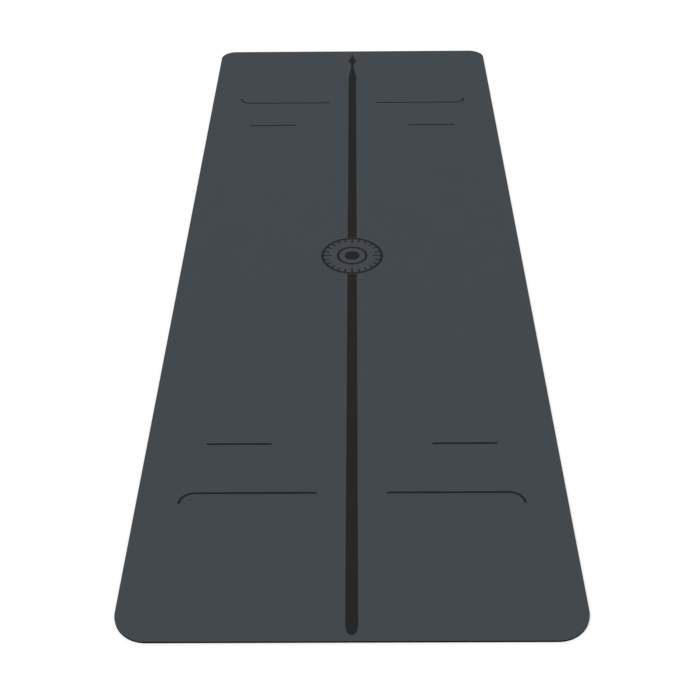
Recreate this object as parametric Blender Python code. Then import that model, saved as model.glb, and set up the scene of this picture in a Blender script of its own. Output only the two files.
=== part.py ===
# Yoga mat with alignment marks: a smooth grip skin, bonded through a cloth onto a rubber base.
# Metres, +Z up. The origin is the middle of the underside. +Y points to the front end, where the
# centre line closes in a star, and +X to the right of somebody who stands on it facing the front.

import math

import bmesh
import bpy

# The die-cut sheet, whose front corners are tighter than its rear ones
MAT_LENGTH = 1.850
MAT_WIDTH = 0.680
FRONT_CORNER_RADIUS = 0.036
REAR_CORNER_RADIUS = 0.051
CORNER_STEPS = 12

# The bonded layers, from the floor up
RUBBER_THICKNESS = 0.0031
CLOTH_THICKNESS = 0.0003
SKIN_THICKNESS = 0.0006
BOND_GAP = 0.0001

# The printed marks, each a film of ink in a shallow bed pressed into the skin
BED_DEPTH = 0.0003
INK_THICKNESS = 0.00015
INK_BED_GAP = 0.0001
INK_SIDE_GAP = 0.0001
CUT_OVERRUN = 0.001

# The dial round the middle of the mat
DIAL_OFFSET = 0.0025
DIAL_RADIUS = 0.062
DIAL_RING_WIDTH = 0.005
TICK_COUNT = 24
TICKS_PER_QUARTER = 6
TICK_WIDTH = 0.0032
TICK_LENGTH = 0.009
QUARTER_TICK_LENGTH = 0.015
STEPS_BETWEEN_TICKS = 4
INNER_RING_RADIUS = 0.031
INNER_RING_WIDTH = 0.005
INNER_RING_STEPS = 64
DOT_RADIUS = 0.015
DOT_STEPS = 40

# The centre line, in a front and a rear stretch that stop just short of the dial
CENTRE_LINE_WIDTH = 0.0184
CENTRE_LINE_DIAL_GAP = 0.001
CENTRE_LINE_STEPS = 10
REAR_END_MARGIN = 0.0103
REAR_END_LENGTH = 0.0205
REAR_END_POWER = 2.3
TAPER_LENGTH = 0.066

# The star at the front end of the centre line
STAR_END_MARGIN = 0.0155
STAR_POINT_LENGTH = 0.0407
STAR_FOOT_LENGTH = 0.0293
STAR_WIDTH = 0.0238
STAR_NECK_WIDTH = 0.006
STAR_TIP_WIDTH = 0.0006
STAR_SIDE_SHARE = 0.42
STAR_SIDE_POWER = 10
STAR_FOOT_POWER = 2.35
FLANK_STEPS = 16

# The long lines, each with a hook that turns to the nearer end of the mat
LONG_LINE_END_MARGIN = 0.281
LONG_LINE_SIDE_MARGIN = 0.067
LONG_LINE_INNER_X = 0.055
LONG_LINE_WIDTH = 0.0044
HOOK_RADIUS = 0.024
HOOK_SWEEP = math.radians(87)
HOOK_STEPS = 10

# The short lines, one beside each long line on the side of the dial
SHORT_LINE_STEP = 0.110
SHORT_LINE_INSET = 0.032
SHORT_LINE_LENGTH = 0.109
SHORT_LINE_WIDTH = 0.0046

# The nib that ends each line on its inner side
NIB_LENGTH = 0.0075
NIB_TIP_WIDTH = 0.0006
NIB_STEPS = 6

# Heights of the layers and of the ink
CLOTH_LOW = RUBBER_THICKNESS + BOND_GAP
SKIN_LOW = CLOTH_LOW + CLOTH_THICKNESS + BOND_GAP
SKIN_HIGH = SKIN_LOW + SKIN_THICKNESS
BED_LOW = SKIN_HIGH - BED_DEPTH
INK_LOW = BED_LOW + INK_BED_GAP

# Colour, roughness and metallic value of each material
FINISHES = {
    "natural_rubber": ((0.010, 0.010, 0.011), 0.85, 0.0),
    "bonding_cloth": ((0.030, 0.033, 0.036), 0.95, 0.0),
    "polyurethane_skin": ((0.058, 0.067, 0.076), 0.62, 0.0),
    "mark_ink": ((0.021, 0.021, 0.021), 0.55, 0.0),
}

RIGHT_ANGLE = math.pi / 2
SMOOTH_ANGLE = math.radians(30)


def clear_scene():
    for item in list(bpy.data.objects):
        bpy.data.objects.remove(item, do_unlink=True)


def finish(name):
    material = bpy.data.materials.get(name)
    if material is None:
        colour, roughness, metallic = FINISHES[name]
        material = bpy.data.materials.new(name)
        material.use_nodes = True
        shader = material.node_tree.nodes["Principled BSDF"]
        shader.inputs["Base Color"].default_value = (*colour, 1)
        shader.inputs["Roughness"].default_value = roughness
        shader.inputs["Metallic"].default_value = metallic
    return material


# Outlines: a shape is a list of loops of (x, y) points. Its first loop is its outside and runs
# anticlockwise. Loops round its holes run clockwise.

def arc(centre, radii, start, sweep, steps):
    points = []
    for step in range(steps + 1):
        angle = start + sweep * step / steps
        x = centre[0] + radii[0] * math.cos(angle)
        y = centre[1] + radii[1] * math.sin(angle)
        points.append((x, y))
    return points


def circle(centre, radius, steps):
    return arc(centre, (radius, radius), 0, math.tau, steps)[:-1]


def grown(loop, margin):
    # Every side of the loop moves away from the material by the margin
    moved = []
    for index, here in enumerate(loop):
        before = loop[index - 1]
        after = loop[(index + 1) % len(loop)]
        side_in = math.dist(before, here)
        side_out = math.dist(here, after)
        normal_in = ((here[1] - before[1]) / side_in, (before[0] - here[0]) / side_in)
        normal_out = ((after[1] - here[1]) / side_out, (here[0] - after[0]) / side_out)
        reach = margin / (1 + normal_in[0] * normal_out[0] + normal_in[1] * normal_out[1])
        x = here[0] + (normal_in[0] + normal_out[0]) * reach
        y = here[1] + (normal_in[1] + normal_out[1]) * reach
        moved.append((x, y))
    return moved


def in_quarter(loop, side, end):
    # A loop drawn for the right front quarter, mirrored into the quarter on that side and end
    moved = [(x * side, y * end) for x, y in loop]
    if side * end < 0:
        moved.reverse()
    return moved


def sheet_loop():
    loop = []
    for quarter, (side, end) in enumerate([(1, 1), (-1, 1), (-1, -1), (1, -1)]):
        radius = FRONT_CORNER_RADIUS if end > 0 else REAR_CORNER_RADIUS
        centre = (side * (MAT_WIDTH / 2 - radius), end * (MAT_LENGTH / 2 - radius))
        radii = (radius, radius)
        loop += arc(centre, radii, quarter * RIGHT_ANGLE, RIGHT_ANGLE, CORNER_STEPS)
    return loop


def dial_ring_shape():
    # A ring whose ticks point inwards, with a longer tick at each quarter
    centre = (0, DIAL_OFFSET)
    inner_radius = DIAL_RADIUS - DIAL_RING_WIDTH
    half_angle = math.asin(TICK_WIDTH / 2 / inner_radius)
    pitch = math.tau / TICK_COUNT
    inside = []
    for tick in range(TICK_COUNT):
        angle = tick * pitch
        along = (math.cos(angle), math.sin(angle))
        length = TICK_LENGTH if tick % TICKS_PER_QUARTER else QUARTER_TICK_LENGTH
        tip = inner_radius * math.cos(half_angle) - length
        for edge in (-TICK_WIDTH / 2, TICK_WIDTH / 2):
            x = centre[0] + along[0] * tip - along[1] * edge
            y = centre[1] + along[1] * tip + along[0] * edge
            inside.append((x, y))
        radii = (inner_radius, inner_radius)
        gap = pitch - 2 * half_angle
        inside += arc(centre, radii, angle + half_angle, gap, STEPS_BETWEEN_TICKS)
    outside = circle(centre, DIAL_RADIUS, TICK_COUNT * STEPS_BETWEEN_TICKS)
    return [outside, inside[::-1]]


def inner_ring_shape():
    centre = (0, DIAL_OFFSET)
    outside = circle(centre, INNER_RING_RADIUS, INNER_RING_STEPS)
    inside = circle(centre, INNER_RING_RADIUS - INNER_RING_WIDTH, INNER_RING_STEPS)
    return [outside, inside[::-1]]


def dial_dot_shape():
    return [circle((0, DIAL_OFFSET), DOT_RADIUS, DOT_STEPS)]


def end_at_dial(end):
    # The hollow end of the centre line, which follows the dial, from its left to its right edge
    radius = DIAL_RADIUS + CENTRE_LINE_DIAL_GAP
    half_angle = math.asin(CENTRE_LINE_WIDTH / 2 / radius)
    start = end * RIGHT_ANGLE + end * half_angle
    return arc((0, DIAL_OFFSET), (radius, radius), start, -2 * end * half_angle, CENTRE_LINE_STEPS)


def flank(low_y, length, low_width, high_width, curve):
    # Points up the right edge of a stretch whose width follows the curve from one width to another
    points = []
    for step in range(1, FLANK_STEPS + 1):
        share = step / FLANK_STEPS
        width = low_width + (high_width - low_width) * curve(share)
        points.append((width / 2, low_y + length * share))
    return points


def taper_curve(share):
    return (1 - math.cos(math.pi * share)) / 2


def star_foot_curve(share):
    return share ** STAR_FOOT_POWER


def star_point_curve(share):
    # The long point narrows evenly. The side points are thin, and fall away from it at once.
    left = 1 - share
    return 1 - (1 - STAR_SIDE_SHARE) * left - STAR_SIDE_SHARE * left ** STAR_SIDE_POWER


def centre_line_front_shape():
    tip_y = MAT_LENGTH / 2 - STAR_END_MARGIN
    widest_y = tip_y - STAR_POINT_LENGTH
    neck_y = widest_y - STAR_FOOT_LENGTH
    taper_y = neck_y - TAPER_LENGTH
    right = [(CENTRE_LINE_WIDTH / 2, taper_y)]
    right += flank(taper_y, TAPER_LENGTH, CENTRE_LINE_WIDTH, STAR_NECK_WIDTH, taper_curve)
    right += flank(neck_y, STAR_FOOT_LENGTH, STAR_NECK_WIDTH, STAR_WIDTH, star_foot_curve)
    right += flank(widest_y, STAR_POINT_LENGTH, STAR_WIDTH, STAR_TIP_WIDTH, star_point_curve)
    left = [(-x, y) for x, y in reversed(right)]
    return [end_at_dial(1) + right + left]


def centre_line_rear_shape():
    # The end is a little blunter than half an ellipse
    round_y = -MAT_LENGTH / 2 + REAR_END_MARGIN + REAR_END_LENGTH
    power = 2 / REAR_END_POWER
    round_end = []
    for step in range(-CENTRE_LINE_STEPS, CENTRE_LINE_STEPS + 1):
        angle = RIGHT_ANGLE * step / CENTRE_LINE_STEPS
        across = math.copysign(abs(math.sin(angle)) ** power, angle)
        x = across * CENTRE_LINE_WIDTH / 2
        y = round_y - REAR_END_LENGTH * math.cos(angle) ** power
        round_end.append((x, y))
    return [round_end + end_at_dial(-1)[::-1]]


def nib(inner_x, line_y, width):
    # The line's inner end: its edge on the side of the dial curves over to its other edge
    edge_y = line_y + width / 2
    centre = (inner_x + NIB_LENGTH, edge_y - NIB_TIP_WIDTH)
    radii = (NIB_LENGTH, width - NIB_TIP_WIDTH)
    return [(inner_x, edge_y)] + arc(centre, radii, math.pi, RIGHT_ANGLE, NIB_STEPS)


def long_line_shape(side, end):
    line_y = MAT_LENGTH / 2 - LONG_LINE_END_MARGIN
    hook_x = MAT_WIDTH / 2 - LONG_LINE_SIDE_MARGIN - HOOK_RADIUS
    centre = (hook_x, line_y + HOOK_RADIUS)
    outer = HOOK_RADIUS + LONG_LINE_WIDTH / 2
    inner = HOOK_RADIUS - LONG_LINE_WIDTH / 2
    loop = nib(LONG_LINE_INNER_X, line_y, LONG_LINE_WIDTH)
    loop += arc(centre, (outer, outer), -RIGHT_ANGLE, HOOK_SWEEP, HOOK_STEPS)
    loop += arc(centre, (inner, inner), HOOK_SWEEP - RIGHT_ANGLE, -HOOK_SWEEP, HOOK_STEPS)
    return [in_quarter(loop, side, end)]


def short_line_shape(side, end):
    line_y = MAT_LENGTH / 2 - LONG_LINE_END_MARGIN - SHORT_LINE_STEP
    outer_x = MAT_WIDTH / 2 - LONG_LINE_SIDE_MARGIN - SHORT_LINE_INSET
    inner_x = outer_x - SHORT_LINE_LENGTH
    half = SHORT_LINE_WIDTH / 2
    loop = nib(inner_x, line_y, SHORT_LINE_WIDTH)
    loop += [(outer_x, line_y - half), (outer_x, line_y + half)]
    return [in_quarter(loop, side, end)]


def mark_shapes():
    shapes = {
        "centre_line_front": centre_line_front_shape(),
        "centre_line_rear": centre_line_rear_shape(),
        "dial_outer_ring": dial_ring_shape(),
        "dial_inner_ring": inner_ring_shape(),
        "dial_centre_dot": dial_dot_shape(),
    }
    for end, end_name in ((1, "front"), (-1, "rear")):
        for side, side_name in ((-1, "left"), (1, "right")):
            shapes[f"{end_name}_long_line_{side_name}"] = long_line_shape(side, end)
            shapes[f"{end_name}_short_line_{side_name}"] = short_line_shape(side, end)
    return shapes


def raise_shape(bm, shape, low, height):
    # One closed slab of the shape, from low up to low plus height
    edges = []
    for loop in shape:
        verts = [bm.verts.new((x, y, low)) for x, y in loop]
        edges += [bm.edges.new((verts[index - 1], vert)) for index, vert in enumerate(verts)]
    filled = bmesh.ops.triangle_fill(bm, edges=edges, use_beauty=True, normal=(0, 0, 1))
    faces = [item for item in filled["geom"] if isinstance(item, bmesh.types.BMFace)]
    raised = bmesh.ops.extrude_face_region(bm, geom=faces, use_keep_orig=True)
    top = [item for item in raised["geom"] if isinstance(item, bmesh.types.BMVert)]
    bmesh.ops.translate(bm, verts=top, vec=(0, 0, height))


def add_slabs(name, shapes, low, height, parent):
    bm = bmesh.new()
    for shape in shapes:
        raise_shape(bm, shape, low, height)
    bmesh.ops.recalc_face_normals(bm, faces=bm.faces[:])
    mesh = bpy.data.meshes.new(name)
    bm.to_mesh(mesh)
    bm.free()
    mesh.shade_smooth()
    mesh.set_sharp_from_angle(angle=SMOOTH_ANGLE)
    item = bpy.data.objects.new(name, mesh)
    item.parent = parent
    bpy.context.scene.collection.objects.link(item)
    return item


def add_layer(name, material, low, thickness, parent):
    layer = add_slabs(name, [[sheet_loop()]], low, thickness, parent)
    layer.data.materials.append(finish(material))
    return layer


def press_beds(skin, shapes, parent):
    # The beds follow the marks, with the ink's clearance all round them
    beds = [[grown(loop, INK_SIDE_GAP) for loop in shape] for shape in shapes]
    cutter = add_slabs("mark_bed_cutter", beds, BED_LOW, BED_DEPTH + CUT_OVERRUN, parent)
    cutter.hide_render = True
    cutter.display_type = "WIRE"
    pressing = skin.modifiers.new("mark beds", "BOOLEAN")
    pressing.operation = "DIFFERENCE"
    pressing.object = cutter


def build_mat():
    clear_scene()
    mat = bpy.data.objects.new("yoga_mat", None)
    bpy.context.scene.collection.objects.link(mat)
    marks = mark_shapes()
    add_layer("rubber_base", "natural_rubber", 0, RUBBER_THICKNESS, mat)
    add_layer("backing_cloth", "bonding_cloth", CLOTH_LOW, CLOTH_THICKNESS, mat)
    skin = add_layer("grip_skin", "polyurethane_skin", SKIN_LOW, SKIN_THICKNESS, mat)
    press_beds(skin, marks.values(), mat)
    for name, shape in marks.items():
        mark = add_slabs(name, [shape], INK_LOW, INK_THICKNESS, mat)
        mark.data.materials.append(finish("mark_ink"))


build_mat()
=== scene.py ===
import math

import bmesh
import bpy
from mathutils import Matrix, Vector


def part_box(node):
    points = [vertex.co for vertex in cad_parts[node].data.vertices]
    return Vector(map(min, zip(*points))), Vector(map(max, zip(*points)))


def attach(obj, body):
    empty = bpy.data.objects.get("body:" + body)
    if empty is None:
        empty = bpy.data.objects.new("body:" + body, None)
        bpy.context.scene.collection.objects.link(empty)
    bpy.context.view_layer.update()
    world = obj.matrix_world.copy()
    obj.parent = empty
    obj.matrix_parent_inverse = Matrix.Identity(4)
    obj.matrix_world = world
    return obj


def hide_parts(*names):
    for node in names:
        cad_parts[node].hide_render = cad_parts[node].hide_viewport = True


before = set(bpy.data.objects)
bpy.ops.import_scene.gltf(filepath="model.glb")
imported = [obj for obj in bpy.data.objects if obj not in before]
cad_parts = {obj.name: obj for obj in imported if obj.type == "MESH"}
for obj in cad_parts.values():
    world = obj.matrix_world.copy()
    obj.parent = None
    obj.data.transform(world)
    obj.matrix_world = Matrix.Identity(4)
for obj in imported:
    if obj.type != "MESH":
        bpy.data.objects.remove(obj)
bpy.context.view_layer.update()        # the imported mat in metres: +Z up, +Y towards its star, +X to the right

# Yoga mat, unrolled on a white studio floor. A natural rubber base carries a thin bonding cloth
# and a smooth grip skin. The guide marks are films of ink in shallow beds pressed into the skin.

mm = 0.001
weldGap = 0.0005 * mm        # points closer than this are one
up = Vector((0, 0, 1))
sheetLow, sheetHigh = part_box("grip_skin")
sheetWidth = sheetHigh.x - sheetLow.x
sheetLength = sheetHigh.y - sheetLow.y
inkLow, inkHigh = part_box("dial_centre_dot")


# Camera

photoCamera = {
    "place": (0.0107, -1.8941, 1.3526),    # metres
    "turn": (49.894, 0.465, 0.125),        # degrees about X, Y and Z
    "lens": 59.21,                         # Blender takes the lens and the sensor in millimetres
    "sensor": 36.0,
    "nearest": 0.05,                       # it sees what lies between these two distances
    "farthest": 50,
}


def placeCamera():
    data = bpy.data.cameras.new("photoCamera")
    data.lens = photoCamera["lens"]
    data.sensor_width = photoCamera["sensor"]
    data.clip_start = photoCamera["nearest"]
    data.clip_end = photoCamera["farthest"]
    camera = bpy.data.objects.new("photoCamera", data)
    camera.location = photoCamera["place"]
    camera.rotation_euler = [math.radians(turn) for turn in photoCamera["turn"]]
    bpy.context.scene.collection.objects.link(camera)
    bpy.context.scene.camera = camera
    print("camera: placed, lens", photoCamera["lens"], "mm")


# Node helpers

def plug(tree, value, socket):
    # The value is a constant or another node's output
    if isinstance(value, bpy.types.NodeSocket):
        tree.links.new(value, socket)
    else:
        socket.default_value = value


def addNode(tree, kind, values=(), **settings):
    # values maps a socket's name, or its number, to what is plugged into it
    node = tree.nodes.new(kind)
    for key, setting in settings.items():
        setattr(node, key, setting)
    for key, value in dict(values).items():
        plug(tree, value, node.inputs[key])
    return node


def maths(tree, operation, first, second=0.0, third=0.0):
    values = {0: first, 1: second, 2: third}
    return addNode(tree, "ShaderNodeMath", values, operation=operation).outputs[0]


def swung(tree, value, swing, middle):
    # Goes half the swing either side of the middle, as the value goes from 0 to 1
    centred = maths(tree, "SUBTRACT", value, 0.5)
    return maths(tree, "MULTIPLY_ADD", centred, swing, middle)


def scaled(tree, vector, factor):
    # A place or a colour, multiplied
    values = {0: vector, "Scale": factor}
    return addNode(tree, "ShaderNodeVectorMath", values, operation="SCALE").outputs["Vector"]


def blended(tree, kind, factor, first, second):
    values = {"Factor": factor, "A": first, "B": second}
    return addNode(tree, "ShaderNodeMix", values, data_type=kind).outputs["Result"]


def noise(tree, place, size, detail):
    values = {"Vector": place, "Scale": maths(tree, "DIVIDE", 1.0, size), "Detail": detail}
    return addNode(tree, "ShaderNodeTexNoise", values).outputs["Fac"]


def newGroup(name, inputs, outputs):
    tree = bpy.data.node_groups.new(name, "ShaderNodeTree")
    for label, kind, value in inputs:
        socket = tree.interface.new_socket(name=label, in_out="INPUT", socket_type=kind)
        if value is not None:
            socket.default_value = value
    for label, kind in outputs:
        tree.interface.new_socket(name=label, in_out="OUTPUT", socket_type=kind)
    start = tree.nodes.new("NodeGroupInput")
    end = tree.nodes.new("NodeGroupOutput")
    return tree, start.outputs, end.inputs


def useGroup(tree, name, **values):
    # camelCase keys stand for the group's socket names, so pebbleSize is Pebble Size
    node = tree.nodes.new("ShaderNodeGroup")
    node.node_tree = bpy.data.node_groups[name]
    for key, value in values.items():
        label = "".join(" " + letter if letter.isupper() else letter for letter in key).title()
        plug(tree, value, node.inputs[label])
    return node.outputs


# Studio

studio = {
    "backdrop": 1.0,                # what the camera, gloss and glass see
    "skyLight": 0.55,               # even soft light from all round
    "lampShare": 0.45,              # the rest of the light, from the lamp
    "lampSoftness": 55,             # degrees across
    "lampTurn": (24, -14, 0),       # degrees off straight down
    "floorSize": 14.0,
    "floorTone": 0.70,
    "floorLift": 0.34,              # what brings the floor up to white for the camera
    "floorDrop": 0.05 * mm,
    "white": (1, 1, 1, 1),
}


def seenOutright(tree):
    # 1 for the rays that see the backdrop: camera, gloss and glass
    rays = addNode(tree, "ShaderNodeLightPath").outputs
    first = maths(tree, "MAXIMUM", rays["Is Camera Ray"], rays["Is Glossy Ray"])
    return maths(tree, "MAXIMUM", first, rays["Is Transmission Ray"])


def makeStudioFloor():
    bm = bmesh.new()
    bmesh.ops.create_grid(bm, x_segments=1, y_segments=1, size=studio["floorSize"] / 2)
    bmesh.ops.translate(bm, verts=bm.verts[:], vec=(0, 0, -studio["floorDrop"]))
    mesh = bpy.data.meshes.new("studioFloor")
    bm.to_mesh(mesh)
    bm.free()
    material = bpy.data.materials.new("studioFloor")
    material.use_nodes = True
    tree = material.node_tree
    sockets = tree.nodes["Principled BSDF"].inputs
    tone = studio["floorTone"]
    sockets["Base Color"].default_value = (tone, tone, tone, 1)
    sockets["Roughness"].default_value = 1.0
    sockets["Specular IOR Level"].default_value = 0.0
    sockets["Emission Color"].default_value = studio["white"]
    lift = maths(tree, "MULTIPLY", seenOutright(tree), studio["floorLift"])
    tree.links.new(lift, sockets["Emission Strength"])
    mesh.materials.append(material)
    floor = bpy.data.objects.new("studioFloor", mesh)
    bpy.context.scene.collection.objects.link(floor)


def lightStudio():
    world = bpy.data.worlds.new("studioWorld")
    world.use_nodes = True
    tree = world.node_tree
    tree.nodes.clear()
    soft, seen = [
        addNode(tree, "ShaderNodeBackground", {"Color": studio["white"], "Strength": strength})
        for strength in (studio["skyLight"], studio["backdrop"])
    ]
    mixed = addNode(tree, "ShaderNodeMixShader", {
        0: seenOutright(tree), 1: soft.outputs[0], 2: seen.outputs[0],
    })
    addNode(tree, "ShaderNodeOutputWorld", {"Surface": mixed.outputs[0]})
    bpy.context.scene.world = world

    lamp = bpy.data.lights.new("softLamp", "SUN")
    lamp.angle = math.radians(studio["lampSoftness"])
    turn = [math.radians(angle) for angle in studio["lampTurn"]]
    # A sun of strength pi lights a face that it meets squarely as a full white sky does. It meets
    # the floor aslant, which the division makes up for.
    lamp.energy = studio["lampShare"] * math.pi / (math.cos(turn[0]) * math.cos(turn[1]))
    holder = bpy.data.objects.new("softLamp", lamp)
    holder.rotation_euler = turn
    bpy.context.scene.collection.objects.link(holder)
    print("studio: lit")


# Shared effects

pebbleGrain = {
    "softness": 0.6,        # how far the pebbles run into each other
    "poreDetail": 2.0,
}


def buildPebbleGrain():
    # Soft leathery pebbles with finer pores over them
    tree, given, result = newGroup("pebbleGrain", [
        ("Place", "NodeSocketVector", None),
        ("Pebble Size", "NodeSocketFloat", 0.7 * mm),
        ("Pore Size", "NodeSocketFloat", 0.2 * mm),
        ("Pore Share", "NodeSocketFloat", 0.3),
    ], [("Height", "NodeSocketFloat")])
    pebbles = addNode(tree, "ShaderNodeTexVoronoi", {
        "Vector": given["Place"],
        "Scale": maths(tree, "DIVIDE", 1.0, given["Pebble Size"]),
        "Smoothness": pebbleGrain["softness"],
    }, feature="SMOOTH_F1")
    pores = noise(tree, given["Place"], given["Pore Size"], pebbleGrain["poreDetail"])
    raised = maths(tree, "SUBTRACT", 1.0, pebbles.outputs["Distance"])
    height = blended(tree, "FLOAT", given["Pore Share"], raised, pores)
    tree.links.new(height, result["Height"])


drift = {
    "toneDetail": 2.0,
    "sheenDetail": 3.0,
    "reach": 0.25,          # how far a noise strays from its middle
}


def buildToneDrift():
    # A colour that wanders lighter and darker by about the strength
    tree, given, result = newGroup("toneDrift", [
        ("Place", "NodeSocketVector", None),
        ("Colour", "NodeSocketColor", (0.5, 0.5, 0.5, 1)),
        ("Patch Size", "NodeSocketFloat", 100 * mm),
        ("Strength", "NodeSocketFloat", 0.02),
    ], [("Colour", "NodeSocketColor")])
    patches = noise(tree, given["Place"], given["Patch Size"], drift["toneDetail"])
    swing = maths(tree, "DIVIDE", given["Strength"], drift["reach"])
    level = swung(tree, patches, swing, 1.0)
    tree.links.new(scaled(tree, given["Colour"], level), result["Colour"])


def buildSheenDrift():
    # Roughness that changes a little from patch to patch, as handling leaves it
    tree, given, result = newGroup("sheenDrift", [
        ("Place", "NodeSocketVector", None),
        ("Roughness", "NodeSocketFloat", 0.6),
        ("Patch Size", "NodeSocketFloat", 60 * mm),
        ("Spread", "NodeSocketFloat", 0.04),
    ], [("Roughness", "NodeSocketFloat")])
    patches = noise(tree, given["Place"], given["Patch Size"], drift["sheenDetail"])
    swing = maths(tree, "DIVIDE", given["Spread"], drift["reach"])
    tree.links.new(swung(tree, patches, swing, given["Roughness"]), result["Roughness"])


def buildPaintedHollowShade():
    # Painted light and shade of the relief: high spots a little lighter and hollows darker
    tree, given, result = newGroup("paintedHollowShade", [
        ("Colour", "NodeSocketColor", (0.5, 0.5, 0.5, 1)),
        ("Height", "NodeSocketFloat", 0.5),
        ("Strength", "NodeSocketFloat", 0.2),
    ], [("Colour", "NodeSocketColor")])
    level = swung(tree, given["Height"], given["Strength"], 1.0)
    tree.links.new(scaled(tree, given["Colour"], level), result["Colour"])


def buildPlainWeave():
    # Threads that pass over and under each other, across the sheet and along it
    tree, given, result = newGroup("plainWeave", [
        ("Place", "NodeSocketVector", None),
        ("Thread Pitch", "NodeSocketFloat", 0.6 * mm),
    ], [("Height", "NodeSocketFloat")])
    phase = maths(tree, "DIVIDE", math.pi, given["Thread Pitch"])
    turns = scaled(tree, given["Place"], phase)
    axes = addNode(tree, "ShaderNodeSeparateXYZ", {"Vector": turns}).outputs
    warp = maths(tree, "SINE", axes["X"])
    weft = maths(tree, "SINE", axes["Y"])
    crossing = maths(tree, "MULTIPLY", warp, weft)               # from -1 to 1
    over = maths(tree, "MULTIPLY_ADD", crossing, 0.5, 0.5)       # from 0 to 1
    height = blended(tree, "FLOAT", over, maths(tree, "ABSOLUTE", weft), maths(tree, "ABSOLUTE", warp))
    tree.links.new(height, result["Height"])


cutPores = {
    "floor": 0.15,          # shares of an open cell's size: its floor ends this far from its middle
    "rim": 0.42,            # and its rim lies this far
}


def buildCutPores():
    # Open cells, left where the knife went through
    tree, given, result = newGroup("cutPores", [
        ("Place", "NodeSocketVector", None),
        ("Pore Size", "NodeSocketFloat", 0.5 * mm),
        ("Density", "NodeSocketFloat", 0.4),
    ], [("Height", "NodeSocketFloat")])
    cells = addNode(tree, "ShaderNodeTexVoronoi", {
        "Vector": given["Place"],
        "Scale": maths(tree, "DIVIDE", 1.0, given["Pore Size"]),
    }, feature="F1")
    chance = addNode(tree, "ShaderNodeSeparateColor", {"Color": cells.outputs["Color"]})
    opened = maths(tree, "LESS_THAN", chance.outputs["Red"], given["Density"])
    hollow = addNode(tree, "ShaderNodeMapRange", {
        "Value": cells.outputs["Distance"],
        "From Min": cutPores["floor"], "From Max": cutPores["rim"], "To Min": 1.0, "To Max": 0.0,
    }, interpolation_type="SMOOTHSTEP")
    pore = maths(tree, "MULTIPLY", hollow.outputs["Result"], opened)
    tree.links.new(maths(tree, "SUBTRACT", 1.0, pore), result["Height"])


def buildGroups():
    buildPebbleGrain()
    buildToneDrift()
    buildSheenDrift()
    buildPaintedHollowShade()
    buildPlainWeave()
    buildCutPores()
    print("shared effects:", len(bpy.data.node_groups), "node groups")


# Finishes. Each piece below gives a look for each of its finishes: patch and fleck are the sizes of
# the broad and the fine drift of its tone, and hollowShade is the darkening of its relief's hollows.

def startFinish(name, look):
    # A new material with its sheen. Hands back its shader too, and where each point is on the mat.
    material = bpy.data.materials.new(name)
    material.use_nodes = True
    tree = material.node_tree
    shader = tree.nodes["Principled BSDF"]
    shader.inputs["Specular IOR Level"].default_value = look["specular"]
    place = addNode(tree, "ShaderNodeTexCoord").outputs["Object"]
    sheen = useGroup(tree, "sheenDrift", place=place, roughness=look["roughness"],
                     patchSize=look["patch"], spread=look["sheenSpread"])
    tree.links.new(sheen["Roughness"], shader.inputs["Roughness"])
    return material, tree, shader, place


def driftedTone(tree, place, look):
    # Two scales of drift: broad patches, and a fleck as fine as the surface's own grain
    broad = useGroup(tree, "toneDrift", place=place, colour=(*look["tone"], 1),
                     patchSize=look["patch"], strength=look["patchDrift"])
    return useGroup(tree, "toneDrift", place=place, colour=broad["Colour"],
                    patchSize=look["fleck"], strength=look["fleckDrift"])["Colour"]


def relief(tree, shader, height, depth, under=None):
    # A bump of the real depth, laid over the one given under it
    values = {"Height": height, "Distance": depth, "Strength": 1.0}
    if under is not None:
        values["Normal"] = under
    bump = addNode(tree, "ShaderNodeBump", values)
    tree.links.new(bump.outputs["Normal"], shader.inputs["Normal"])
    return bump.outputs["Normal"]


def reliefWithPaintedShade(tree, shader, place, look, height, depth):
    # Relief, with painted shade in its hollows and a painted highlight on its high spots
    shaded = useGroup(tree, "paintedHollowShade", colour=driftedTone(tree, place, look), height=height,
                      strength=look["hollowShade"])
    tree.links.new(shaded["Colour"], shader.inputs["Base Color"])
    return relief(tree, shader, height, depth)


def pebbleHeight(tree, place, look):
    return useGroup(tree, "pebbleGrain", place=place, pebbleSize=look["pebble"],
                    poreSize=look["pore"], poreShare=look["poreShare"])["Height"]


def weaveHeight(tree, place, look):
    return useGroup(tree, "plainWeave", place=place, threadPitch=look["pitch"])["Height"]


def makePebbledFinish(name, look):
    # A face with the leathery grain
    material, tree, shader, place = startFinish(name, look)
    reliefWithPaintedShade(tree, shader, place, look, pebbleHeight(tree, place, look), look["depth"])
    return material


def makeCutFinish(name, look):
    # A die-cut side, with the cells that the knife opened
    material, tree, shader, place = startFinish(name, look)
    pores = useGroup(tree, "cutPores", place=place, poreSize=look["pore"], density=look["density"])
    reliefWithPaintedShade(tree, shader, place, look, pores["Height"], look["depth"])
    return material


def makeLinenFinish(name, look):
    # The imprint of the linen that the rubber was cured on, under a fine grain
    material, tree, shader, place = startFinish(name, look)
    linen = weaveHeight(tree, place, look)
    imprint = reliefWithPaintedShade(tree, shader, place, look, linen, look["weaveDepth"])
    relief(tree, shader, pebbleHeight(tree, place, look), look["depth"], imprint)
    return material


def makeWovenFinish(name, look):
    # Cloth whose tone turns lighter where its threads lie highest
    material, tree, shader, place = startFinish(name, look)
    height = weaveHeight(tree, place, look)
    threadTone = (*look["threadTone"], 1)
    tone = blended(tree, "RGBA", height, driftedTone(tree, place, look), threadTone)
    tree.links.new(tone, shader.inputs["Base Color"])
    relief(tree, shader, height, look["depth"])
    return material


# Marks, each drawn once as a flat mesh. Its bed in the skin and its film of ink both come from it.

def partsOf(parts, kind):
    return [part for part in parts if isinstance(part, kind)]


def zTurn(angle):
    return Matrix.Rotation(angle, 3, "Z")


def oneEdge(bm, first, second):
    return bm.edges.new((bm.verts.new(first), bm.verts.new(second)))


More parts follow.
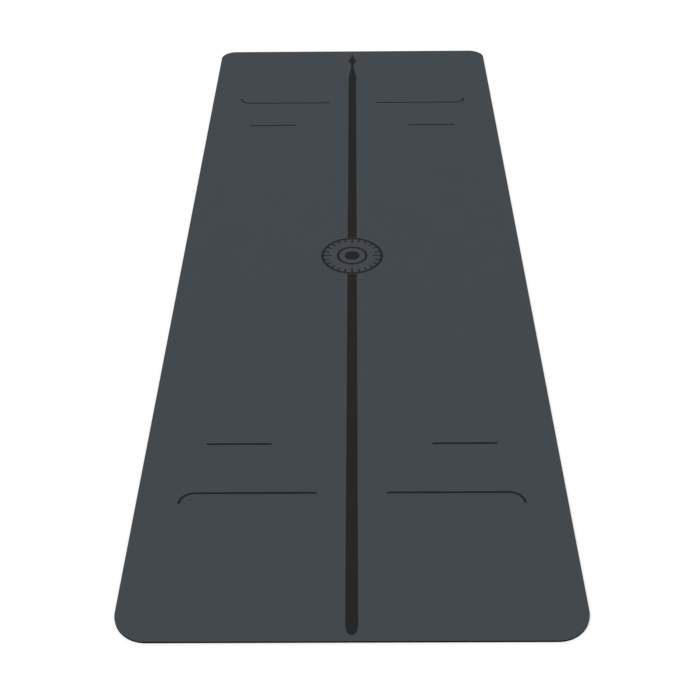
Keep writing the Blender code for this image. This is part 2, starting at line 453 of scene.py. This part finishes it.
def pullEdge(bm, edge, move):
    # Draws the edge out into a new face and hands back its far edge
    drawn = bmesh.ops.extrude_edge_only(bm, edges=[edge])["geom"]
    far = partsOf(drawn, bmesh.types.BMEdge)[0]
    bmesh.ops.translate(bm, verts=far.verts[:], vec=move)
    return far


def turnEdge(bm, edge, centre, angle, steps):
    # Sweeps the edge round the centre and hands back its last place
    swept = bmesh.ops.spin(bm, geom=[*edge.verts, edge], cent=centre, axis=up,
                           angle=angle, steps=steps)
    return partsOf(swept["geom_last"], bmesh.types.BMEdge)[0]


def pullRow(bm, row, toY, squeeze):
    # Draws a row of edges out to a straight row at toY, its width multiplied by squeeze
    drawn = bmesh.ops.extrude_edge_only(bm, edges=row)["geom"]
    bmesh.ops.scale(bm, vec=(squeeze, 0, 1), space=Matrix.Translation((0, -toY, 0)),
                    verts=partsOf(drawn, bmesh.types.BMVert))
    return partsOf(drawn, bmesh.types.BMEdge)


nib = {
    "length": 7.5 * mm,
    "tipWidth": 0.6 * mm,
    "steps": 10,
}


def drawNib(bm, edge, lineWidth, farSideY):
    # The line's inner end: the side by the dial curves over to the far side
    along, width = 0, lineWidth
    for step in range(1, nib["steps"] + 1):
        angle = math.pi / 2 * step / nib["steps"]
        nextAlong = nib["length"] * math.sin(angle)
        nextWidth = nib["tipWidth"] + (lineWidth - nib["tipWidth"]) * math.cos(angle)
        edge = pullEdge(bm, edge, (along - nextAlong, 0, 0))
        bmesh.ops.scale(bm, vec=(1, nextWidth / width, 1),
                        space=Matrix.Translation((0, -farSideY, 0)), verts=edge.verts[:])
        along, width = nextAlong, nextWidth


longLine = {
    "fromEnd": 281 * mm,
    "fromSide": 67 * mm,
    "innerX": 55 * mm,
    "width": 4.4 * mm,
    "hookRadius": 24 * mm,
    "hookSweep": 87,        # degrees
    "hookSteps": 26,
}


def drawLongLine(bm):
    # In the right front quarter: the hook, and a straight run inwards from it
    y = sheetHigh.y - longLine["fromEnd"]
    hookX = sheetHigh.x - longLine["fromSide"] - longLine["hookRadius"]
    half = longLine["width"] / 2
    start = oneEdge(bm, (hookX, y - half, 0), (hookX, y + half, 0))
    turnEdge(bm, start, (hookX, y + longLine["hookRadius"], 0),
             math.radians(longLine["hookSweep"]), longLine["hookSteps"])
    run = longLine["innerX"] + nib["length"] - hookX
    drawNib(bm, pullEdge(bm, start, (run, 0, 0)), longLine["width"], y + half)


shortLine = {
    "step": 110 * mm,        # from the long line towards the dial
    "inset": 32 * mm,        # its outer end, from the long line's
    "length": 109 * mm,
    "width": 4.6 * mm,
}


def drawShortLine(bm):
    y = sheetHigh.y - longLine["fromEnd"] - shortLine["step"]
    outerX = sheetHigh.x - longLine["fromSide"] - shortLine["inset"]
    half = shortLine["width"] / 2
    start = oneEdge(bm, (outerX, y - half, 0), (outerX, y + half, 0))
    run = nib["length"] - shortLine["length"]
    drawNib(bm, pullEdge(bm, start, (run, 0, 0)), shortLine["width"], y + half)


dial = {
    "centreY": 2.5 * mm,
    "radius": 62 * mm,
    "ringWidth": 5 * mm,
    "ticks": 24,
    "ticksPerQuarter": 6,
    "tickWidth": 3.2 * mm,
    "tickLength": 9 * mm,
    "quarterTickLength": 15 * mm,
    "gapSteps": 8,
    "innerRadius": 31 * mm,
    "innerWidth": 5 * mm,
    "innerSteps": 120,
    "dotRadius": 15 * mm,
    "dotSteps": 72,
}


def drawDialRing(bm):
    # A ring whose ticks point inwards, longer at each quarter
    centre = Vector((0, dial["centreY"], 0))
    inner = dial["radius"] - dial["ringWidth"]
    halfTick = math.asin(dial["tickWidth"] / 2 / inner)
    pitch = math.tau / dial["ticks"]
    edge = oneEdge(bm, (inner, centre.y, 0), (dial["radius"], centre.y, 0))
    bmesh.ops.rotate(bm, verts=edge.verts[:], cent=centre, matrix=zTurn(-halfTick))
    for tick in range(dial["ticks"]):
        far = turnEdge(bm, edge, centre, 2 * halfTick, 1)
        root = [min(side.verts, key=lambda vert: (vert.co - centre).length) for side in (edge, far)]
        length = dial["tickLength"] if tick % dial["ticksPerQuarter"] else dial["quarterTickLength"]
        outwards = zTurn(tick * pitch) @ Vector((1, 0, 0))
        pullEdge(bm, bm.edges.get(root), -length * outwards)
        edge = turnEdge(bm, far, centre, pitch - 2 * halfTick, dial["gapSteps"])


def drawInnerRing(bm):
    start = oneEdge(bm, (dial["innerRadius"] - dial["innerWidth"], dial["centreY"], 0),
                    (dial["innerRadius"], dial["centreY"], 0))
    bmesh.ops.spin(bm, geom=[*start.verts, start], cent=(0, dial["centreY"], 0), axis=up,
                   angle=math.tau, steps=dial["innerSteps"], use_merge=True)


def drawDialDot(bm):
    bmesh.ops.create_circle(bm, cap_ends=True, radius=dial["dotRadius"], segments=dial["dotSteps"])
    bmesh.ops.translate(bm, verts=bm.verts[:], vec=(0, dial["centreY"], 0))


centreLine = {
    "width": 18.4 * mm,
    "dialGap": 1 * mm,
    "columns": 8,
    "rearMargin": 10.3 * mm,
    "rearLength": 20.5 * mm,        # of its blunt round end
    "rearPower": 2.3,
    "rearColumns": 28,
    "starMargin": 15.5 * mm,
    "pointLength": 40.7 * mm,
    "sideShare": 0.42,              # how much of the star's width is its thin side points
    "sidePower": 10,
    "pointSteps": 30,
    "footLength": 29.3 * mm,
    "footPower": 2.35,
    "footSteps": 18,
    "starWidth": 23.8 * mm,
    "neckWidth": 6 * mm,
    "tipWidth": 0.6 * mm,
    "taperLength": 66 * mm,
    "taperSteps": 18,
}


# The three curves of the front line's outline. Each turns the share of a stretch that lies behind
# into the share of its change in width.

def taperShare(share):
    return (1 - math.cos(math.pi * share)) / 2


def footShare(share):
    return share ** centreLine["footPower"]


def pointShare(share):
    side, left = centreLine["sideShare"], 1 - share
    return 1 - (1 - side) * left - side * left ** centreLine["sidePower"]


def drawFrontCentreLine(bm):
    # From the hollow end at the dial, along the stripe, through its taper and out to the star's tip
    centre = (0, dial["centreY"], 0)
    radius = dial["radius"] + centreLine["dialGap"]
    halfAngle = math.asin(centreLine["width"] / 2 / radius)
    first = bm.verts.new((0, dial["centreY"] + radius, 0))
    bmesh.ops.rotate(bm, verts=[first], cent=centre, matrix=zTurn(-halfAngle))
    bmesh.ops.spin(bm, geom=[first], cent=centre, axis=up, angle=2 * halfAngle,
                   steps=centreLine["columns"])
    tipY = sheetHigh.y - centreLine["starMargin"]
    widestY = tipY - centreLine["pointLength"]
    neckY = widestY - centreLine["footLength"]
    taperY = neckY - centreLine["taperLength"]
    row = pullRow(bm, bm.edges[:], taperY, 1)
    width = centreLine["width"]
    stretches = [
        (taperY, neckY, width, centreLine["neckWidth"], taperShare, centreLine["taperSteps"]),
        (neckY, widestY, centreLine["neckWidth"], centreLine["starWidth"], footShare,
         centreLine["footSteps"]),
        (widestY, tipY, centreLine["starWidth"], centreLine["tipWidth"], pointShare,
         centreLine["pointSteps"]),
    ]
    for lowY, highY, lowWidth, highWidth, curve, steps in stretches:
        for step in range(1, steps + 1):
            share = step / steps
            nextWidth = lowWidth + (highWidth - lowWidth) * curve(share)
            row = pullRow(bm, row, lowY + (highY - lowY) * share, nextWidth / width)
            width = nextWidth


def drawRearCentreLine(bm):
    # From the round end straight to the dial, where the last row takes the dial's curve
    half = centreLine["width"] / 2
    roundY = sheetLow.y + centreLine["rearMargin"] + centreLine["rearLength"]
    first = bm.verts.new((-half, roundY, 0))
    bmesh.ops.spin(bm, geom=[first], cent=(0, roundY, 0), axis=up, angle=math.pi,
                   steps=centreLine["rearColumns"])
    power = 2 / centreLine["rearPower"]        # makes the half circle a blunter superellipse
    for vert in bm.verts:
        across, down = vert.co.x / half, max(0, roundY - vert.co.y) / half
        vert.co.x = half * math.copysign(abs(across) ** power, across)
        vert.co.y = roundY - centreLine["rearLength"] * down ** power
    row = pullRow(bm, bm.edges[:], 0, 1)
    radius = dial["radius"] + centreLine["dialGap"]
    for vert in {vert for edge in row for vert in edge.verts}:
        vert.co.y = dial["centreY"] - math.sqrt(radius ** 2 - vert.co.x ** 2)


def layFlat(node, draw, side=1, end=1):
    # One flat mark as a mesh that faces up, mirrored into its quarter of the mat
    bm = bmesh.new()
    draw(bm)
    bmesh.ops.scale(bm, vec=(side, end, 1), verts=bm.verts[:])
    bmesh.ops.remove_doubles(bm, verts=bm.verts[:], dist=weldGap)
    bm.normal_update()
    bmesh.ops.reverse_faces(bm, faces=[face for face in bm.faces if face.normal.z < 0])
    mesh = bpy.data.meshes.new(node + "_flat")
    bm.to_mesh(mesh)
    bm.free()
    return mesh


def drawMarks():
    middleMarks = {
        "centre_line_front": drawFrontCentreLine,
        "centre_line_rear": drawRearCentreLine,
        "dial_outer_ring": drawDialRing,
        "dial_inner_ring": drawInnerRing,
        "dial_centre_dot": drawDialDot,
    }
    marks = {node: layFlat(node, draw) for node, draw in middleMarks.items()}
    for endName, end in (("front", 1), ("rear", -1)):
        for sideName, side in (("left", -1), ("right", 1)):
            for kind, draw in (("long", drawLongLine), ("short", drawShortLine)):
                node = f"{endName}_{kind}_line_{sideName}"
                marks[node] = layFlat(node, draw, side, end)
    print("marks:", len(marks), "drawn flat")
    return marks


# Layers

sheetOutline = {
    "frontRadius": 36 * mm,
    "rearRadius": 51 * mm,
    "cornerSteps": 36,
}

faceLimits = {
    "side": 0.5,            # a side's normal rises or falls by less than this
    "level": 0.999,         # and a level face's by more than this
    "quadCorners": 4,
}


def roundRim(bm, edges, radius, steps):
    bmesh.ops.bevel(bm, geom=edges, offset=radius, offset_type="OFFSET", affect="EDGES",
                    segments=steps, profile=0.5, material=-1)


def cutLayer(bm, low, high, lowerRim, upperRim, rimSteps):
    # The die-cut outline as a closed slab with rounded rims. Hands back its top face.
    bmesh.ops.create_grid(bm, x_segments=1, y_segments=1, size=0.5)
    bmesh.ops.scale(bm, vec=(sheetWidth, sheetLength, 1), verts=bm.verts[:])
    for end, radius in ((1, sheetOutline["frontRadius"]), (-1, sheetOutline["rearRadius"])):
        corners = [vert for vert in bm.verts if vert.co.y * end > sheetLength / 2 - weldGap]
        bmesh.ops.bevel(bm, geom=corners, offset=radius, offset_type="OFFSET", affect="VERTICES",
                        segments=sheetOutline["cornerSteps"], profile=0.5, material=-1)
    bmesh.ops.translate(bm, verts=bm.verts[:], vec=(0, 0, low))
    raised = bmesh.ops.extrude_face_region(bm, geom=bm.faces[:], use_keep_orig=True)["geom"]
    bmesh.ops.translate(bm, verts=partsOf(raised, bmesh.types.BMVert), vec=(0, 0, high - low))
    for level, radius in ((low, lowerRim), (high, upperRim)):
        rim = [edge for edge in bm.edges
               if all(abs(vert.co.z - level) < weldGap for vert in edge.verts)]
        roundRim(bm, rim, radius, rimSteps)
    bmesh.ops.recalc_face_normals(bm, faces=bm.faces[:])
    return max(bm.faces, key=lambda face: face.calc_center_median().z)


def wideFaces(faces):
    # The outline's level faces, the only ones with more corners than a quad
    return {face for face in faces if len(face.verts) > faceLimits["quadCorners"]}


def cutSides(faces):
    # The die-cut wall, with the steeper half of each rim
    return {face for face in faces if abs(face.normal.z) < faceLimits["side"]}


def finishPiece(bm, name, node, materials, level, sides=()):
    # Level faces stay flat and the rest is smooth, and the sides take the second material.
    # Then the piece goes into the frame.
    bmesh.ops.recalc_face_normals(bm, faces=bm.faces[:])
    for face in bm.faces:
        face.smooth = face not in level
        face.material_index = 1 if face in sides else 0
    mesh = bpy.data.meshes.new(name)
    bm.to_mesh(mesh)
    bm.free()
    for material in materials:
        mesh.materials.append(material)
    piece = bpy.data.objects.new(name, mesh)
    bpy.context.scene.collection.objects.link(piece)
    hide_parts(node)
    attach(piece, "root")
    return piece


rubberBase = {
    "lowerRim": 0.35 * mm,
    "upperRim": 0.08 * mm,
    "rimSteps": 4,
    "undersideLook": {
        "tone": (0.0080, 0.0080, 0.0085),
        "roughness": 0.8, "sheenSpread": 0.06, "specular": 0.1,
        "patch": 70 * mm, "patchDrift": 0.05,
        "fleck": 0.9 * mm, "fleckDrift": 0.06, "hollowShade": 0.6,
        "pitch": 1.3 * mm, "weaveDepth": 0.10 * mm,
        "pebble": 0.5 * mm, "pore": 0.15 * mm, "poreShare": 0.5, "depth": 0.02 * mm,
    },
    "shadedCutLook": {
        # black as the rubber is, and darker than the underside as painted shade
        "tone": (0.0034, 0.0034, 0.0037),
        "roughness": 0.85, "sheenSpread": 0.04, "specular": 0.03,
        "patch": 25 * mm, "patchDrift": 0.05,
        "fleck": 0.6 * mm, "fleckDrift": 0.08, "hollowShade": 0.8,
        "pore": 0.55 * mm, "density": 0.45, "depth": 0.12 * mm,
    },
}


def makeRubberBase(clothLow):
    bm = bmesh.new()
    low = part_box("rubber_base")[0].z
    cutLayer(bm, low, clothLow, rubberBase["lowerRim"], rubberBase["upperRim"],
             rubberBase["rimSteps"])
    finishes = [makeLinenFinish("naturalRubberUnderside", rubberBase["undersideLook"]),
                makeCutFinish("naturalRubberCutEdgePaintedShade", rubberBase["shadedCutLook"])]
    base = finishPiece(bm, "rubber_cushion_base", "rubber_base", finishes,
                       wideFaces(bm.faces), cutSides(bm.faces))
    print("rubber base:", len(base.data.polygons), "faces")
    return base


bondingCloth = {
    "rim": 0.1 * mm,
    "rimSteps": 3,
    "look": {
        "tone": (0.0050, 0.0055, 0.0060),
        "threadTone": (0.0120, 0.0130, 0.0140),
        "roughness": 0.9, "sheenSpread": 0.03, "specular": 0.03,
        "patch": 30 * mm, "patchDrift": 0.05,
        "fleck": 0.3 * mm, "fleckDrift": 0.10,
        "pitch": 0.42 * mm, "depth": 0.08 * mm,
    },
}


def makeBondingCloth(low, high):
    bm = bmesh.new()
    cutLayer(bm, low, high, bondingCloth["rim"], bondingCloth["rim"], bondingCloth["rimSteps"])
    finish = makeWovenFinish("bondingCloth", bondingCloth["look"])
    cloth = finishPiece(bm, "bonding_cloth_layer", "backing_cloth", [finish],
                        wideFaces(bm.faces))
    print("bonding cloth:", len(cloth.data.polygons), "faces")
    return cloth


gripSkin = {
    "lowerRim": 0.05 * mm,
    "upperRim": 0.18 * mm,
    "rimSteps": 4,
    "flatBorder": 0.3 * mm,         # level strip inside the rim, before the open field
    "bedGap": 0.03 * mm,            # level floor between the ink and the bed's wall
    "wallDraft": 0.02 * mm,
    "shoulder": 0.12 * mm,
    "shoulderSteps": 4,
    "shoulderBorder": 0.15 * mm,    # level strip outside the shoulder
    "faceLook": {
        "tone": (0.0565, 0.0654, 0.0748),
        "roughness": 0.62, "sheenSpread": 0.03, "specular": 0.006,
        "patch": 90 * mm, "patchDrift": 0.010,
        "fleck": 1.1 * mm, "fleckDrift": 0.030, "hollowShade": 0.45,
        "pebble": 0.75 * mm, "pore": 0.2 * mm, "poreShare": 0.3, "depth": 0.10 * mm,
    },
    "shadedCutLook": {
        # the face's own polyurethane, its tone darker as painted shade
        "tone": (0.0330, 0.0385, 0.0450),
        "roughness": 0.5, "sheenSpread": 0.04, "specular": 0.06,
        "patch": 30 * mm, "patchDrift": 0.03,
        "fleck": 0.4 * mm, "fleckDrift": 0.05, "hollowShade": 0.25,
        "pore": 0.14 * mm, "density": 0.15, "depth": 0.02 * mm,
    },
}


def growRing(bm, region, width):
    # Lays a level ring of faces, this wide, along every border of the region
    borders = [edge for face in region for edge in face.edges if edge.is_boundary]
    outwards = {}
    for edge in borders:
        middle = (edge.verts[0].co + edge.verts[1].co) / 2
        away = (edge.verts[1].co - edge.verts[0].co).cross(up).normalized()
        if away.dot(middle - edge.link_faces[0].calc_center_median()) < 0:
            away.negate()
        for vert in edge.verts:
            outwards.setdefault(vert, []).append(away)
    drawn = bmesh.ops.extrude_edge_only(bm, edges=borders)["geom"]
    for vert in partsOf(drawn, bmesh.types.BMVert):
        neighbours = [edge.other_vert(vert) for edge in vert.link_edges]
        first, second = next(outwards[other] for other in neighbours if other in outwards)
        vert.co += (first + second) * width / (1 + first.dot(second))        # mitred at corners
    return partsOf(drawn, bmesh.types.BMFace)


def pressBeds(bm, beds, depth):
    # Grows rings round the beds while all is level, then lowers what lies inside each ring.
    # Hands back the outer edges of the last ring.
    radius, steps = gripSkin["shoulder"], gripSkin["shoulderSteps"]
    rings = [(gripSkin["bedGap"], 0), (gripSkin["wallDraft"], depth - radius)]
    for step in range(steps, 0, -1):
        outer, inner = [math.pi / 2 * k / steps for k in (step - 1, step)]
        rings.append((radius * (math.sin(inner) - math.sin(outer)),
                      radius * (math.cos(outer) - math.cos(inner))))
    rings.append((gripSkin["shoulderBorder"], 0))
    region = list(beds)
    lowered = []
    for width, drop in rings:
        lowered.append((drop, list({vert for face in region for vert in face.verts})))
        region += growRing(bm, region, width)
    for drop, inside in lowered:
        bmesh.ops.translate(bm, verts=inside, vec=(0, 0, -drop))
    return [edge for face in region for edge in face.edges if edge.is_boundary]


def makeGripSkin(marks):
    bm = bmesh.new()
    low, high = sheetLow.z, sheetHigh.z
    top = cutLayer(bm, low, high, gripSkin["lowerRim"], gripSkin["upperRim"], gripSkin["rimSteps"])
    bmesh.ops.inset_region(bm, faces=[top], use_even_offset=True, thickness=gripSkin["flatBorder"])
    outline = top.edges[:]
    bmesh.ops.delete(bm, geom=[top], context="FACES_ONLY")
    shell = set(bm.faces)
    sides = cutSides(shell)
    for mesh in marks.values():
        known = set(bm.verts)
        bm.from_mesh(mesh)
        bmesh.ops.translate(bm, verts=[vert for vert in bm.verts if vert not in known],
                            vec=(0, 0, high))
    beds = [face for face in bm.faces if face not in shell]
    bedBorders = pressBeds(bm, beds, high - inkLow.z)
    filled = bmesh.ops.triangle_fill(bm, edges=[*outline, *bedBorders], use_beauty=True,
                                     normal=up)["geom"]
    level = wideFaces(shell) | set(beds) | set(partsOf(filled, bmesh.types.BMFace))
    finishes = [makePebbledFinish("polyurethaneGripFace", gripSkin["faceLook"]),
                makeCutFinish("polyurethaneCutEdgeShaded", gripSkin["shadedCutLook"])]
    skin = finishPiece(bm, "grip_skin_sheet", "grip_skin", finishes, level,
                       sides)
    print("grip skin:", len(skin.data.polygons), "faces,", len(beds), "of them bed floors")


inkFilm = {
    "rim": 0.04 * mm,
    "rimSteps": 2,
    "look": {                       # the skin's pebbles, with a finer grain of its own
        "tone": (0.0200, 0.0200, 0.0200),
        "roughness": 0.7, "sheenSpread": 0.04, "specular": 0.006,
        "patch": 40 * mm, "patchDrift": 0.02,
        "fleck": 0.5 * mm, "fleckDrift": 0.08, "hollowShade": 0.55,
        "pebble": 0.75 * mm, "pore": 0.16 * mm, "poreShare": 0.4, "depth": 0.10 * mm,
    },
}


def makeInkFilm(node, mesh, finish):
    bm = bmesh.new()
    bm.from_mesh(mesh)
    bmesh.ops.translate(bm, verts=bm.verts[:], vec=(0, 0, inkLow.z))
    raised = bmesh.ops.extrude_face_region(bm, geom=bm.faces[:], use_keep_orig=True)["geom"]
    bmesh.ops.translate(bm, verts=partsOf(raised, bmesh.types.BMVert),
                        vec=(0, 0, inkHigh.z - inkLow.z))
    top = set(partsOf(raised, bmesh.types.BMFace))
    rim = {edge for face in top for edge in face.edges
           if any(other not in top for other in edge.link_faces)}
    roundRim(bm, list(rim), inkFilm["rim"], inkFilm["rimSteps"])
    bm.normal_update()
    level = {face for face in bm.faces if abs(face.normal.z) > faceLimits["level"]}
    finishPiece(bm, node + "_ink", node, [finish], level)


def makeInkFilms(marks):
    finish = makePebbledFinish("markInk", inkFilm["look"])
    for node, mesh in marks.items():
        makeInkFilm(node, mesh, finish)
        bpy.data.meshes.remove(mesh)
    print("ink films:", len(marks), "made")


def main():
    bpy.context.scene.view_settings.view_transform = "Standard"
    placeCamera()
    makeStudioFloor()
    lightStudio()
    buildGroups()
    marks = drawMarks()
    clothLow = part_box("backing_cloth")[0].z
    base = makeRubberBase(clothLow)
    cloth = makeBondingCloth(clothLow, sheetLow.z)
    makeGripSkin(marks)
    makeInkFilms(marks)


main()
